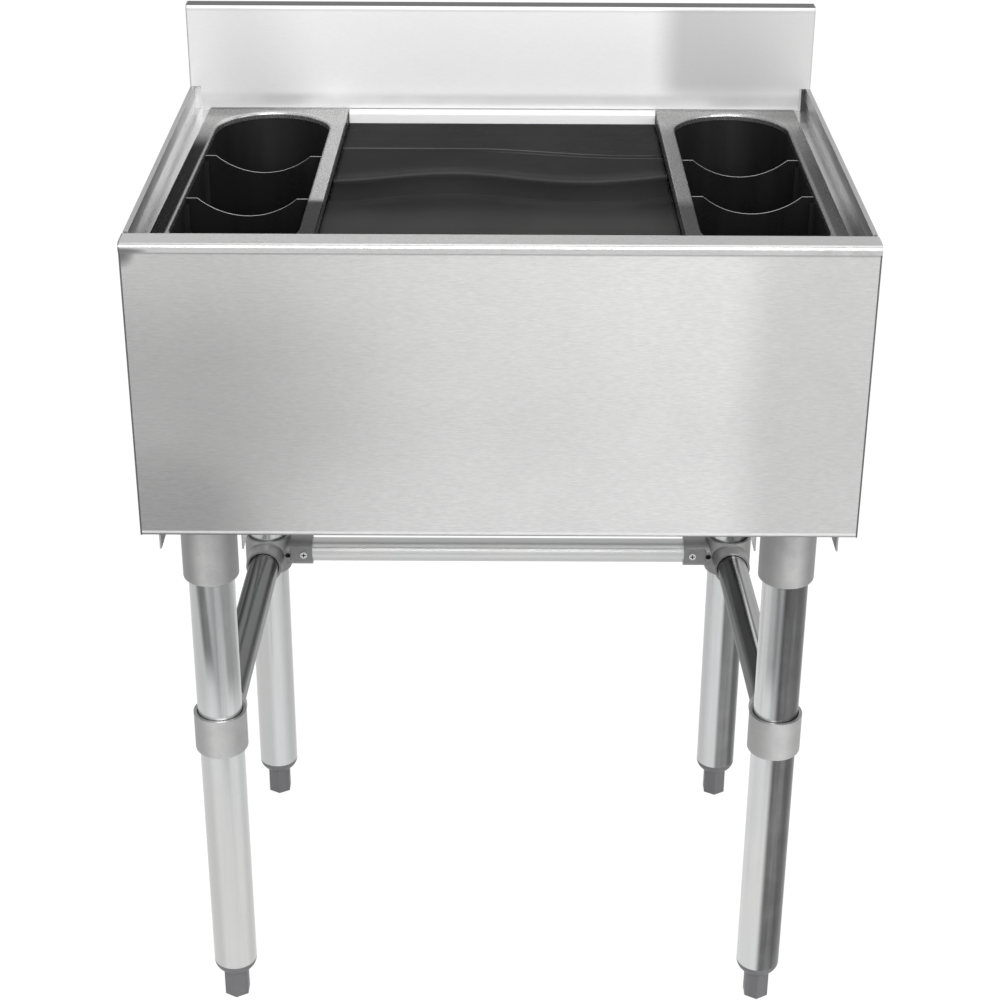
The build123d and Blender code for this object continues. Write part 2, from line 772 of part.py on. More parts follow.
def brace_casting(row, sign):
    """A collar round a leg with a socket for the side rail, drilled for its two screws."""
    middle = leg_point(row, sign)
    along = rail_direction(row, sign)
    rod(middle - Vector(0, 0, collar_height / 2), (0, 0, 1), collar_radius, collar_height)
    rod(middle, along, rail_socket_radius, rail_socket_reach)
    if row == "rear":
        rod(middle, (-sign, 0, 0), sleeve_radius, sleeve_reach)
        sleeve_span = (sign * (leg_x[row] - sleeve_reach), sign * (leg_x[row] - collar_radius))
        pad_y = leg_y[row] - sleeve_flat
        pad_z = (brace_height - sleeve_radius, brace_height + sleeve_radius)
        block(sleeve_span, (pad_y - sleeve_radius, pad_y), pad_z, mode=Mode.SUBTRACT)
        sleeve_start = middle + Vector(-sign * sleeve_stop, 0, 0)
        sleeve_bore = cross_rail_radius + cross_gap
        rod(sleeve_start, (-sign, 0, 0), sleeve_bore, sleeve_reach, Mode.SUBTRACT)
        for reach, radius in (
            (pad_screw_reach, pad_screw_radius + set_screw_gap),
            (pad_hole_reach, pad_hole_radius),
        ):
            pad_point = middle + Vector(-sign * reach, 0, 0)
            rod(pad_point, (0, -1, 0), radius, sleeve_radius + collar_radius, Mode.SUBTRACT)
    bore_start = middle - Vector(0, 0, collar_height)
    rod(bore_start, (0, 0, 1), pipe_radius + collar_gap, 2 * collar_height, Mode.SUBTRACT)
    socket_bore = rail_radius + rail_gap
    rod(middle + along * rail_stop, along, socket_bore, rail_socket_reach, Mode.SUBTRACT)
    screw_hole = set_screw_radius + set_screw_gap
    under = middle + along * rail_screw_reach
    rod(under, (0, 0, -1), screw_hole, 2 * rail_socket_radius, Mode.SUBTRACT)
    rod(middle, collar_screw_direction(sign), screw_hole, 2 * collar_radius, Mode.SUBTRACT)


for row, name in legs:
    sign = sides[name]
    with BuildPart() as brace_fitting:
        brace_casting(row, sign)
        collar_rims = brace_fitting.edges().filter_by(GeomType.CIRCLE).group_by(Axis.Z)
        fillet(collar_rims[0].sort_by(SortBy.RADIUS)[-1], collar_bevel)
    brace_fitting.part.label = f"brace_fitting_{row}_{name}"
    export_step(brace_fitting.part, f"parts/{brace_fitting.part.label}.step")

for name, sign in sides.items():
    with BuildPart() as side_rail:
        along = rail_direction("front", sign)
        rail_start = leg_point("front", sign) + along * (rail_stop + end_gap)
        rod(rail_start, along, rail_radius, rail_length)
        rod(rail_start, along, rail_radius - rail_wall, rail_length, Mode.SUBTRACT)
    side_rail.part.label = f"side_rail_{name}"
    export_step(side_rail.part, f"parts/{side_rail.part.label}.step")

# Rear rail between the rear legs, drilled for the pad screws
cross_half = leg_x["rear"] - sleeve_stop - end_gap
with BuildPart() as rear_rail:
    rail_start = Vector(-cross_half, leg_y["rear"], brace_height)
    rod(rail_start, (1, 0, 0), cross_rail_radius, 2 * cross_half)
    rod(rail_start, (1, 0, 0), cross_rail_radius - cross_rail_wall, 2 * cross_half, Mode.SUBTRACT)
    for sign in sides.values():
        pad_point = leg_point("rear", sign) + Vector(-sign * pad_screw_reach, 0, 0)
        rod(pad_point, (0, -1, 0), pad_screw_radius + set_screw_gap, 2 * cross_rail_radius, Mode.SUBTRACT)
rear_rail.part.label = "rear_rail"
export_step(rear_rail.part, "parts/rear_rail.step")

# Set screws that press on the pipes: in the sockets, in the collars and under the side rails
with BuildPart() as socket_screws:
    for row, name in legs:
        start = leg_point(row, sides[name], socket_low + socket_screw_height)
        screw_length = socket_radius - pipe_radius
        rod(start + Vector(0, pipe_radius, 0), (0, 1, 0), set_screw_radius, screw_length)
        rod(start, (0, 0, 1), pipe_radius, set_screw_radius, Mode.SUBTRACT)
        rod(start, (0, 0, -1), pipe_radius, set_screw_radius, Mode.SUBTRACT)
socket_screws.part.label = "socket_set_screws"
export_step(socket_screws.part, "parts/socket_set_screws.step")

with BuildPart() as collar_screws:
    for row, name in legs:
        outward = collar_screw_direction(sides[name])
        start = leg_point(row, sides[name])
        screw_length = collar_radius - pipe_radius + skin
        rod(start + outward * pipe_radius, outward, set_screw_radius, screw_length)
        rod(start, (0, 0, 1), pipe_radius, set_screw_radius, Mode.SUBTRACT)
        rod(start, (0, 0, -1), pipe_radius, set_screw_radius, Mode.SUBTRACT)
collar_screws.part.label = "collar_set_screws"
export_step(collar_screws.part, "parts/collar_set_screws.step")

with BuildPart() as rail_screws:
    for row, name in legs:
        along = rail_direction(row, sides[name])
        start = leg_point(row, sides[name]) + along * rail_screw_reach
        surface = sqrt(rail_radius ** 2 - set_screw_radius ** 2)
        screw_length = rail_socket_radius - surface
        rod(start - Vector(0, 0, surface), (0, 0, -1), set_screw_radius, screw_length)
        rod(start - along * pipe_radius, along, rail_radius, 2 * pipe_radius, Mode.SUBTRACT)
rail_screws.part.label = "side_rail_set_screws"
export_step(rail_screws.part, "parts/side_rail_set_screws.step")

# Pan-head screws with a cross recess, through the sleeves' flats into the rear rail
with BuildPart() as pad_screws:
    for sign in sides.values():
        pad_point = leg_point("rear", sign) + Vector(-sign * pad_screw_reach, -sleeve_flat, 0)
        shank_length = sleeve_flat - cross_rail_radius + cross_rail_wall + skin
        rod(pad_point, (0, 1, 0), pad_screw_radius, shank_length)
        rod(pad_point, (0, -1, 0), pad_head_radius, pad_head_height)
        slot_y = (pad_point.Y - pad_head_height, pad_point.Y - pad_head_height / 2)
        for wide, tall in ((pad_head_radius, pad_slot), (pad_slot, pad_head_radius)):
            block(
                (pad_point.X - wide / 2, pad_point.X + wide / 2),
                slot_y,
                (pad_point.Z - tall / 2, pad_point.Z + tall / 2),
                mode=Mode.SUBTRACT,
            )
pad_screws.part.label = "rear_rail_screws"
export_step(pad_screws.part, "parts/rear_rail_screws.step")
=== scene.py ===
# %% [markdown]
# An underbar ice bin stands behind a bar and holds the ice. Its body is folded from brushed
# stainless sheet over foam, it has a splash at the back, a lift-out bottle holder at each end and
# a black plastic lid between them, and it stands on four galvanised pipe legs.
# The solid model comes in as a fixed frame, already at its real size, in metres.
# This script gives every surface its finish and adds what a solid model has no words for: the
# slightly warped lid, the marks of welding and grinding, the light, and the painted light, shade
# and reflections that many of the colours hold.

# %% Load the frame
from collections import namedtuple
from math import cos, radians

import bmesh
import bpy
from mathutils import Matrix, Vector


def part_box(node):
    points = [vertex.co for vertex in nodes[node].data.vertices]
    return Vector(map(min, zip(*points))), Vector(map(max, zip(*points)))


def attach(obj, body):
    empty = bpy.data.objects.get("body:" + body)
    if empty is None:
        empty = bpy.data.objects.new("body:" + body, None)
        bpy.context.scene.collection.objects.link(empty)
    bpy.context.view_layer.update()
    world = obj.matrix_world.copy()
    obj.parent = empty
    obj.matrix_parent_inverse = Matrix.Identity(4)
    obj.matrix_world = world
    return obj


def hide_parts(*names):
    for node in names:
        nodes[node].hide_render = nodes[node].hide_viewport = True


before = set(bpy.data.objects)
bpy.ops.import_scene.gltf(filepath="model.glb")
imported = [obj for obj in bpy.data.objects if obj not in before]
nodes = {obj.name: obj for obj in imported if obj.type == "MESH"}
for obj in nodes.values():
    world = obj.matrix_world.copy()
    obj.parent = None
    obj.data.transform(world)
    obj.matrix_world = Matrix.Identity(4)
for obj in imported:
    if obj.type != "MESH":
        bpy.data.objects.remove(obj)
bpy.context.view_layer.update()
print("pieces in the frame:", len(nodes))

# %% [markdown]
# The camera stands in front of the bin, a little above a person's eyes when they bend over it,
# and looks down. Its place and its turn were fitted to the corners of the front panel and of the
# splash, so the picture can be laid over the photograph. The place is in metres, the angles are in
# degrees, and the lens and the sensor are in millimetres.

# %% Camera
CAMERA_PLACE = (-0.00338, -1.83968, 1.39570)
CAMERA_DOWN = 26.755
CAMERA_TURN = -0.145
CAMERA_ROLL = 0.300
CAMERA_LENS = 76.764
CAMERA_SENSOR = 36.0

camera_data = bpy.data.cameras.new("camera")
camera_data.lens = CAMERA_LENS
camera_data.sensor_width = CAMERA_SENSOR
camera = bpy.data.objects.new("camera", camera_data)
turn = Matrix.Rotation(radians(CAMERA_TURN), 4, "Z")
tilt = Matrix.Rotation(radians(90 - CAMERA_DOWN), 4, "X")
roll = Matrix.Rotation(radians(CAMERA_ROLL), 4, "Z")
camera.matrix_world = Matrix.Translation(CAMERA_PLACE) @ turn @ tilt @ roll
bpy.context.scene.collection.objects.link(camera)
bpy.context.scene.camera = camera

# %% [markdown]
# A finish is a network of shader nodes. Written as nodes, even a small sum takes several lines,
# so two small classes make it read like arithmetic: a Field is one output of a node, and adding
# or multiplying Fields adds the Math nodes. A Finish holds one material and makes every other
# node through one method, from its kind, its settings and the values of its sockets. Sockets
# that are easier to reach by their number than by their name are named here.

# %% Shader arithmetic
OBJECT_COORDINATES = 3
GEOMETRY_NORMAL = 1
CAMERA_RAY, GLOSSY_RAY = 0, 3
MIX_COLOUR_A, MIX_COLOUR_B, MIX_COLOUR_OUT = 6, 7, 2


class Field:
    """One output of a shader node, on which Python arithmetic adds Math nodes."""

    def __init__(self, finish, socket):
        self.finish = finish
        self.socket = socket

    def _math(self, operation, first, second):
        return self.finish.node("ShaderNodeMath", {"operation": operation}, {0: first, 1: second})

    def __add__(self, other):
        return self._math("ADD", self, other)

    def __sub__(self, other):
        return self._math("SUBTRACT", self, other)

    def __rsub__(self, other):
        return self._math("SUBTRACT", other, self)

    def __mul__(self, other):
        return self._math("MULTIPLY", self, other)

    __radd__ = __add__
    __rmul__ = __mul__

    def distance(self, value):
        """How far the field is from a value."""
        return self.finish.node("ShaderNodeMath", {"operation": "ABSOLUTE"}, {0: self - value})

    def cosine(self):
        return self.finish.node("ShaderNodeMath", {"operation": "COSINE"}, {0: self})

    def rise(self, low, high):
        """0 below low, 1 above high and a smooth step between them; it falls if low is higher."""
        settings = {"interpolation_type": "SMOOTHSTEP"}
        inputs = {"Value": self, "From Min": low, "From Max": high}
        return self.finish.node("ShaderNodeMapRange", settings, inputs)

    def swing(self, size):
        """Noise that runs from 0 to 1, moved to lie about zero and made as wide as size."""
        return (self - 0.5) * size


class Finish:
    """A material with one main shader."""

    def __init__(self, name, **constants):
        self.material = bpy.data.materials.new(name)
        self.material.use_nodes = True
        self.tree = self.material.node_tree
        self.shader = self.tree.nodes["Principled BSDF"]
        for socket, value in constants.items():
            self.shader.inputs[socket.replace("_", " ")].default_value = value

    def node(self, kind, settings=None, inputs=None, output=0):
        """Makes a node and returns one of its outputs, given by its number."""
        made = self.tree.nodes.new(kind)
        for name, value in (settings or {}).items():
            setattr(made, name, value)
        for name, value in (inputs or {}).items():
            self._join(made.inputs[name], value)
        return Field(self, made.outputs[output])

    def feed(self, **sockets):
        """Joins fields or plain values to sockets of the main shader."""
        for name, value in sockets.items():
            self._join(self.shader.inputs[name.replace("_", " ")], value)

    def _join(self, socket, value):
        if isinstance(value, Field):
            self.tree.links.new(value.socket, socket)
        else:
            socket.default_value = value

    def place(self):
        """The point's own coordinates in the object, in metres."""
        return self.node("ShaderNodeTexCoord", output=OBJECT_COORDINATES)

    def along(self, axis):
        """One of the point's coordinates: X, Y or Z."""
        inputs = {0: self.place()}
        return self.node("ShaderNodeSeparateXYZ", inputs=inputs, output="XYZ".index(axis))

    def grain(self, scale, detail=2.0, rough=0.5, offset=(0.0, 0.0, 0.0)):
        """Noise from 0 to 1, with its scale given for each axis in cycles per metre."""
        inputs = {"Vector": self.place(), "Scale": scale, "Location": offset}
        mapped = self.node("ShaderNodeMapping", inputs=inputs)
        inputs = {"Vector": mapped, "Scale": 1.0, "Detail": detail, "Roughness": rough}
        return self.node("ShaderNodeTexNoise", {"normalize": True}, inputs)

    def mix(self, share, first, second):
        """A colour between two colours."""
        return self._blend({}, share, first, second)

    def times(self, first, second):
        """One colour multiplied by another."""
        return self._blend({"blend_type": "MULTIPLY"}, 1.0, first, second)

    def _blend(self, settings, share, first, second):
        settings = {"data_type": "RGBA", **settings}
        inputs = {0: share, MIX_COLOUR_A: first, MIX_COLOUR_B: second}
        return self.node("ShaderNodeMix", settings, inputs, output=MIX_COLOUR_OUT)

    def bump(self, height, depth, strength):
        """A normal bent by a height that is given as 0 to 1 and a depth in metres."""
        inputs = {"Height": height, "Distance": depth, "Strength": strength}
        return self.node("ShaderNodeBump", inputs=inputs)


def grey(value, tint=(1.0, 1.0, 1.0)):
    """A colour of one lightness, with a slight tint."""
    return (value * tint[0], value * tint[1], value * tint[2], 1.0)


def cube(value):
    """The same scale along every axis."""
    return (value, value, value)


# %% [markdown]
# Brushed stainless sheet has short scratches that all run one way, a few millimetres long and
# a fraction of a millimetre wide. They could be an image, but noise that is stretched along one
# axis gives them at any distance. A slow noise gives wide soft bands, as a rolled sheet shows
# them, and a cloudy one gives the faint stains of handling. A satin sheet also scatters light as
# paint does, so it is made a little less than fully metallic, and stays bright where it has only
# dark things to mirror. The scratches multiply the colour, so they also show on what is painted
# over the sheet. Scales are in cycles per metre and depths in metres.

# %% Brushed stainless sheet
SCRATCH_ALONG, SCRATCH_ACROSS = 140.0, 1000.0
HAIR_ALONG, HAIR_ACROSS = 0.4 * SCRATCH_ALONG, 2.6 * SCRATCH_ACROSS
BAND_ALONG, BAND_ACROSS = 3.2, 0.35
SCRATCH_DEPTH = {"X": 0.00004, "Y": 0.000005}
STRONG_GRAIN, FAINT_GRAIN = 0.60, 0.20


def stretched(direction, along, across):
    """A scale for noise that has one scale along an axis and another across it."""
    return [along if axis == direction else across for axis in "XYZ"]


def brushed_sheet(name, direction, light, rough, metal, contrast, marks):
    """Stainless sheet with scratches along X or Y; marks adds what one piece alone shows."""
    finish = Finish(name, Specular_IOR_Level=0.5)
    scratch_scale = stretched(direction, SCRATCH_ALONG, SCRATCH_ACROSS)
    scratches = finish.grain(scratch_scale, detail=3.0, rough=0.65)
    hairs = finish.grain(stretched(direction, HAIR_ALONG, HAIR_ACROSS), detail=1.0)
    bands = finish.grain(stretched(direction, BAND_ALONG, BAND_ACROSS), detail=1.5)
    clouds = finish.grain(cube(9.0), detail=4.0, rough=0.6, offset=(3.0, 1.0, 7.0))
    tone = scratches.swing(0.20) + hairs.swing(0.10) + bands.swing(0.07) + clouds.swing(0.05)
    dull = grey(1 - contrast, (1.0, 1.0, 1.01))
    bright = grey(1 + contrast, (1.0, 0.998, 0.99))
    texture = finish.mix((tone + 0.5).rise(0.0, 1.0), dull, bright)
    colour = grey(light)
    for mask, paint, *painted_metal in marks(finish) if marks else []:
        colour = finish.mix(mask, colour, grey(paint))
        if painted_metal:
            metal = mask * (painted_metal[0] - metal) + metal
    finish.feed(Base_Color=finish.times(colour, texture), Metallic=metal)
    finish.feed(Roughness=scratches.swing(0.16) + clouds.swing(0.10) + rough)
    finish.feed(Normal=finish.bump(scratches + 0.5 * hairs, SCRATCH_DEPTH[direction], 0.5))
    return finish


def dress(node, finish):
    """Gives a node of the frame its finish."""
    mesh = nodes[node].data
    mesh.materials.clear()
    mesh.materials.append(finish.material)


# %% [markdown]
# Each sheet also has marks of its own, and most of them are painted light and shade. The front
# panel has painted shade at the left and at its right end, a painted highlight across it, a painted
# shadow line where the rim's lip covers it, a painted highlight and shadow along the pressed hem at
# the bottom, and a grey smudge where its left corner was welded and ground. The splash has a dark
# line along its top return and two soft grey patches of painted reflection. The bottle frames have
# painted reflections, dark where they mirror the wells. All of these follow from the place on the
# sheet, so a mask is made from one or two coordinates, in metres, and a grey is laid over the sheet
# where the mask says. A mark is a mask, its grey and, where the mark is painted shade and not
# metal, how metallic it is. Ranges that tell one face of a sheet from another have names, with the
# axis that they are counted along, and so have the leans of the holders.

# %% Marks on the sheets
LIP_Y = (-0.2340, -0.2345)
RIM_TOP_Y = (-0.2335, -0.2325)
SPLASH_FACE_Y = (0.2159, 0.2154)
SKIRT_Z = (0.7900, 0.7885)
LEFT_LEAN, RIGHT_LEAN = 0.018, -0.004


def stripe(field, middle, half, soft):
    """1 within half of the middle, fading to 0 over soft."""
    return field.distance(middle).rise(half + soft, half)


def middle(node):
    """The middle of a node's box."""
    low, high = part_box(node)
    return (low + high) / 2


def spot(finish, **axes):
    """A soft oval patch, given by its place and its radius along each of two axes."""
    total = 0.0
    for axis, (place, radius) in axes.items():
        off = (finish.along(axis) - place) * (1 / radius)
        total = off * off + total
    return total.rise(1.0, 0.0)


def panel_marks(finish):
    """Painted shade at the left and at the right end, a painted highlight, painted light low at the
    left, a darker lower left corner, a weld smudge, a painted shadow line under the lip and a
    painted highlight and shadow on the hem.
    """
    panel_low, panel_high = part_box("front_panel")
    across = finish.along("X")
    below = finish.along("Z") - panel_high.z
    above = finish.along("Z") - panel_low.z
    cloud = finish.grain((14.0, 14.0, 30.0), detail=3.0, rough=0.6)
    # Painted shade at the left, a painted highlight, painted light low at the left and painted
    # shade at the right end.
    painted_shade = across.rise(0.0, -0.26) * (below.rise(-0.10, 0.0) * -0.28 + 0.78)
    painted_highlight = stripe(across, 0.150, 0.02, 0.09) * 0.30
    painted_light = above.rise(0.12, 0.0) * across.rise(-0.25, -0.12) * 0.35
    right_end = across.rise(0.18, 0.23) * 0.42
    low_corner = spot(finish, X=(-0.30, 0.11), Z=(0.56, 0.09)) * 0.4
    weld = spot(finish, X=(-0.3060, 0.017), Z=(0.8060, 0.016)) * (cloud * 0.5 + 0.70)
    # A painted shadow under the rim's lip, and a painted highlight and shadow along the hem.
    lip_shadow = below.rise(-0.0053, -0.0036) * 0.65
    hem = stripe(above, 0.0031, 0.0006, 0.0008) * 0.7
    hem_shadow = above.rise(0.0016, 0.0008) * 0.8
    return [
        (painted_shade, 0.36), (painted_highlight, 0.84), (painted_light, 0.90), (right_end, 0.46), (low_corner, 0.24),
        (weld, 0.16), (lip_shadow, 0.26), (hem, 0.95), (hem_shadow, 0.12),
    ]


def rim_marks(finish):
    """Painted shade on the top to the right and on the left end, a weld smudge on the lip and a
    cloudy grey over the lip's right part.
    """
    lip = finish.along("Y").rise(*LIP_Y)
    cloud = finish.grain((60.0, 60.0, 90.0), detail=3.0, rough=0.6).rise(0.35, 0.65)
    # Painted shade on the right of the top and on the left end.
    painted_shade = finish.along("X").rise(-0.05, 0.10) * finish.along("Y").rise(*RIM_TOP_Y) * 0.25
    end = finish.along("X").rise(-0.3030, -0.3046) * 0.8
    smudge = spot(finish, X=(-0.3045, 0.028), Z=(0.8070, 0.0035)) * lip * 0.8
    mottle = finish.along("X").rise(0.235, 0.265) * lip * cloud * 0.35
    return [(painted_shade, 0.36), (end, 0.12), (smudge, 0.10), (mottle, 0.36)]


def splash_marks(finish):
    """Two soft patches of painted reflection on the face, painted shade at its foot and in the
    crease there, and dark lines at its edges.
    """
    across = finish.along("X")
    up = finish.along("Z")
    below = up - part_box("backsplash")[1].z
    cloud = finish.grain((16.0, 4.0, 22.0), detail=2.0, rough=0.5)
    face = finish.along("Y").rise(*SPLASH_FACE_Y)
    # Both patches are painted reflections.
    patch = stripe(across, 0.241, 0.062, 0.035) * up.rise(0.79, 0.82) * face * 0.62
    left_patch = across.rise(-0.17, -0.27) * face * 0.42
    # Painted shade at the foot, patchy in the crease.
    foot = up.rise(0.812, 0.796) * 0.35
    crease = stripe(up, 0.8010, 0.002, 0.007) * cloud.rise(0.1, 0.6) * 0.40
    hem = stripe(below, -0.0042, 0.0006, 0.0012) * 0.25
    top = below.rise(-0.0008, -0.0003) * 0.95
    left_edge = across.rise(-0.3032, -0.3042) * 0.7
    right_edge = across.rise(0.3032, 0.3042) * 0.4
    return [
        (patch, 0.42), (left_patch, 0.5), (foot, 0.55), (crease, 0.40), (hem, 0.45),
        (top, 0.07), (left_edge, 0.20), (right_edge, 0.30),
    ]


def holder_places(finish, side, lean):
    """Across and ahead from the middle of a bottle holder that leans a little in its seat."""
    centre = middle(f"bottle_well_{side}")
    ahead = finish.along("Y") - centre.y
    return finish.along("X") - centre.x - lean * ahead, ahead


def left_frame_marks(finish):
    """Painted reflections of the well on the frame's inner and outer edges, a painted highlight on
    its pale rear and painted shade on its dark skirt.
    """
    across, ahead = holder_places(finish, "left", LEFT_LEAN)
    # Every mark here is painted reflection and shade.
    rear = ahead.rise(0.13, 0.18) * 0.6
    rear_left = ahead.rise(0.17, 0.19) * across.rise(0.04, -0.05) * 0.5
    soft = across.rise(-0.045, -0.060) * ahead.rise(0.19, 0.10) * 0.5
    outer = across.rise(-0.0552, -0.0572) * ahead.rise(0.130, 0.075)
    inner = across.rise(0.045, 0.050) * ahead.rise(-0.066, -0.080) * 0.95
    skirt = across.rise(0.0674, 0.0682) * finish.along("Z").rise(*SKIRT_Z)
    return [
        (rear, 0.78), (rear_left, 0.28), (soft, 0.20), (outer, 0.006), (inner, 0.03),
        (skirt, 0.10, 0.05),
    ]


def right_frame_marks(finish):
    """The same for the right frame, which stands straighter and catches other light."""
    across, ahead = holder_places(finish, "right", RIGHT_LEAN)
    # Painted reflections and shade, as on the left frame.
    outer = across.rise(0.0560, 0.0590) * ahead.rise(0.16, 0.0) * 0.75
    rear = ahead.rise(0.12, 0.17) * 0.5
    rear_right = across.rise(0.02, 0.05) * ahead.rise(0.15, 0.19) * 0.3
    inner = across.rise(-0.045, -0.050) * ahead.rise(-0.060, -0.090) * 0.8
    skirt = across.rise(-0.0674, -0.0682) * finish.along("Z").rise(*SKIRT_Z)
    return [
        (outer, 0.07), (rear, 0.75), (rear_right, 0.12), (inner, 0.06), (skirt, 0.10, 0.05),
    ]


def side_marks(finish):
    """Painted shade on the cut edge at the front and on the hem along the top."""
    # Painted shade, on the front edge and on the hem.
    edge = finish.along("Y").rise(-0.2325, -0.2332)
    hem = finish.along("Z").rise(0.8118, 0.8132) * 0.6
    return [(edge, 0.16), (hem, 0.36)]


def deck_marks(finish):
    """Pale and dark reflections in the troughs beside the holders, and shade behind the splash."""
    across = finish.along("X")
    ahead = finish.along("Y")
    left = across.rise(-0.25, -0.28)
    pale = left * ahead.rise(-0.10, 0.0) * 0.55
    left_front = left * ahead.rise(-0.09, -0.18) * 0.5
    right = across.rise(0.25, 0.28) * ahead.rise(-0.03, -0.15) * 0.85
    behind = ahead.rise(0.2150, 0.2160)
    notch = behind * across.rise(0.2962, 0.2968)
    return [
        (pale, 0.90), (left_front, 0.30), (right, 0.14), (behind * 0.75, 0.50, 0.4),
        (notch, 0.05, 0.3),
    ]


# %% [markdown]
# Each sheet is given by the axis of its scratches, its lightness, roughness and share of metal, the
# contrast of its grain, and its marks. The bottle frames mirror less at a grazing angle. The splash
# and the rear rest are much paler and less metallic than the other sheets, which is painted light,
# and the right frame is darker than the left, which is painted shade.

# %% The sheets
GRAZING = 0.5
SHEETS = {
    "front_panel": ("X", 0.68, 0.42, 0.80, STRONG_GRAIN, panel_marks),
    "rim_cap": ("X", 0.60, 0.30, 0.92, STRONG_GRAIN, rim_marks),
    "back_panel": ("X", 0.60, 0.36, 0.90, STRONG_GRAIN, None),
    "side_panel_left": ("Y", 0.60, 0.32, 0.92, FAINT_GRAIN, side_marks),
    "side_panel_right": ("Y", 0.60, 0.32, 0.92, FAINT_GRAIN, side_marks),
    "bottom_pan": ("X", 0.50, 0.40, 0.95, STRONG_GRAIN, None),
    "ice_basin": ("X", 0.70, 0.45, 0.60, STRONG_GRAIN, None),
    "top_deck": ("Y", 0.62, 0.30, 0.85, FAINT_GRAIN, deck_marks),
    # Painted light: a paler, less metallic sheet.
    "backsplash": ("X", 0.93, 0.50, 0.30, FAINT_GRAIN, splash_marks),
    "lid_rest_front": ("X", 0.62, 0.30, 0.92, STRONG_GRAIN, None),
    # Painted highlight: a nearly white, hardly metallic rest.
    "lid_rest_rear": ("X", 0.98, 0.42, 0.10, FAINT_GRAIN, None),
    "bottle_frame_left": ("Y", 0.58, 0.28, 0.92, FAINT_GRAIN, left_frame_marks),
    # Painted shade: a darker copy of the left frame's steel.
    "bottle_frame_right": ("Y", 0.31, 0.28, 0.90, FAINT_GRAIN, right_frame_marks),
    "drain_strainer": ("X", 0.60, 0.30, 1.0, STRONG_GRAIN, None),
}

for node, (direction, light, rough, metal, contrast, marks) in SHEETS.items():
    sheet = brushed_sheet(f"brushed_{node}", direction, light, rough, metal, contrast, marks)
    if node.startswith("bottle_frame"):
        sheet.shader.inputs["Specular Tint"].default_value = grey(GRAZING)
    dress(node, sheet)

# %% [markdown]
# The legs and rails are galvanised pipe. Bright zinc is smoother than brushed steel, so it
# mirrors the room in long soft bands, with a slight tint of blue, green or pink where the
# passivation is thicker, and tiny runs along the pipe.

# %% Galvanised pipe


def zinc(name, direction, light, rough=0.24, metal=0.9, grazing=1.0, streaks=None):
    """Bright galvanised steel with faint runs along one axis, and painted reflections as streaks,
    given as masks and greys.
    """
    finish = Finish(name, Metallic=metal, Specular_Tint=grey(grazing))
    runs = finish.grain(stretched(direction, 4.0, 130.0), detail=3.0, rough=0.6)
    mottle = finish.grain(cube(30.0), detail=3.0, rough=0.6)
    hue = finish.grain((16.0, 16.0, 4.0), detail=1.0, offset=(5.0, 2.0, 0.0))
    cold, warm = grey(light, (0.97, 1.0, 1.015)), grey(light, (1.02, 1.0, 0.985))
    tone = runs.swing(0.6) + mottle.swing(0.3) + 0.5
    dark = grey(0.80 * light, (0.99, 1.0, 1.0))
    colour = finish.mix(tone.rise(0.0, 1.0), dark, finish.mix(hue.rise(0.35, 0.65), cold, warm))
    # Each streak is a painted reflection.
    for mask, paint in streaks(finish) if streaks else []:
        colour = finish.mix(mask * (tone + 0.5), colour, grey(paint, (1.0, 1.01, 1.0)))
    finish.feed(Base_Color=colour)
    finish.feed(Roughness=mottle.swing(0.06) + rough)
    finish.feed(Normal=finish.bump(runs, 0.00003, 0.35))
    return finish


# %% [markdown]
# Each leg mirrors another part of the room, so each has painted reflections of its own, as streaks.
# A streak is given by how far to the right of the pipe's middle it lies, its half width and its
# softness, all in pipe radii, by its share and its grey, by the height in metres below which it
# fades, and by its slant: how many pipe radii it moves to the left for each metre that it climbs.
# The streaks lie on the half of the pipe that faces the front and, as TURN says, a little inwards.

# %% Streaks of the legs
Streak = namedtuple("Streak", "place half soft share paint low slant", defaults=(0.0, 0.0))

LEGS = [f"{row}_{side}" for row in ("front", "rear") for side in ("left", "right")]
STREAKS = {
    "front_left": [
        Streak(0.20, 1.10, 0.20, 0.35, 0.40, low=0.33),
        Streak(-1.00, 0.30, 0.35, 0.40, 0.40),
        Streak(-0.42, 0.09, 0.20, 0.90, 0.15, low=0.36, slant=2.0),
        Streak(0.60, 0.16, 0.20, 0.75, 0.20, low=0.335, slant=1.0),
        Streak(0.15, 0.03, 0.12, 0.60, 1.00, low=0.30),
        Streak(0.85, 0.05, 0.25, 0.40, 0.40),
    ],
    "front_right": [
        Streak(-0.36, 0.10, 0.24, 0.75, 0.28, low=0.345),
        Streak(0.77, 0.65, 0.26, 0.95, 0.12),
        Streak(-1.00, 0.10, 0.30, 0.40, 0.40, low=0.35),
        Streak(0.85, 0.15, 0.20, 0.50, 0.07),
    ],
    "rear_left": [
        Streak(-1.00, 0.60, 0.35, 0.45, 0.40),
        Streak(0.85, 0.10, 0.50, 0.65, 0.40),
    ],
    "rear_right": [
        Streak(0.72, 0.60, 0.22, 0.90, 0.16),
        Streak(0.80, 0.08, 0.12, 0.70, 0.08),
        Streak(-1.05, 0.10, 0.60, 0.60, 0.40),
    ],
}
PIPE_RADIUS = 0.02065
FADE = 0.05
SLANT_HEIGHT = 0.43
TURN = 0.15
FRONT_HALF = (0.003, -0.003)  # ahead of the pipe's middle


